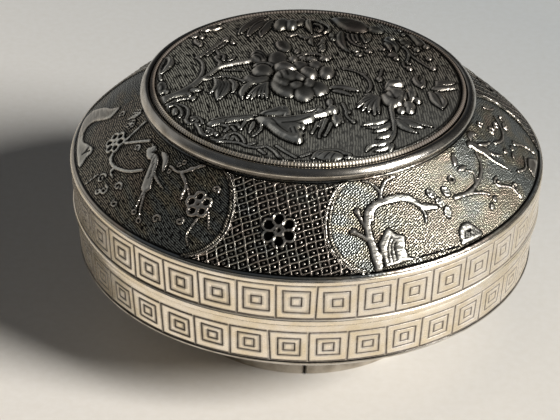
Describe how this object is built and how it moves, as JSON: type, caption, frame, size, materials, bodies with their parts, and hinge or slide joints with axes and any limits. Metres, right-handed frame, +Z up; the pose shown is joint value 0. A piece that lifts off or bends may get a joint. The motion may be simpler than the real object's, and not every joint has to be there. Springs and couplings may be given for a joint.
{
  "type": "pill box",
  "caption": "Round silver box on a ring foot with a lift-off lid: fret-engraved hoops, sloping engraved shoulder and a chased plaque in a moulded bezel.",
  "frame": {"origin": "middle of the ring foot, on the surface that the box stands on", "axes": "+Z up along the axis of the box; -Y towards the seam of the ring foot, the side seen in the picture"},
  "size_m": [0.062, 0.062, 0.0357],
  "materials": {
    "bright_silver": "rubbed bright, dark in the cut lines",
    "aged_silver": "satin, lightly tarnished",
    "darkened_silver": "darkened ground, high points rubbed bright"
  },
  "bodies": {
    "base": {"foot_ring": "aged_silver", "base_dish": "aged_silver", "base_wall": "bright_silver", "inner_collar": "aged_silver"},
    "lid": {"lid_mouth_wire": "bright_silver", "lid_wall": "bright_silver", "lid_shoulder": "darkened_silver", "lid_crown_plate": "aged_silver", "medallion_bezel": "aged_silver", "milled_wire": "aged_silver", "medallion_plaque": "darkened_silver"}
  },
  "joints": [
    {"name": "lid_lift", "type": "slide", "parent": "base", "child": "lid", "axis": [0, 0, 1], "range_m": [0, 0.03]}
  ]
}
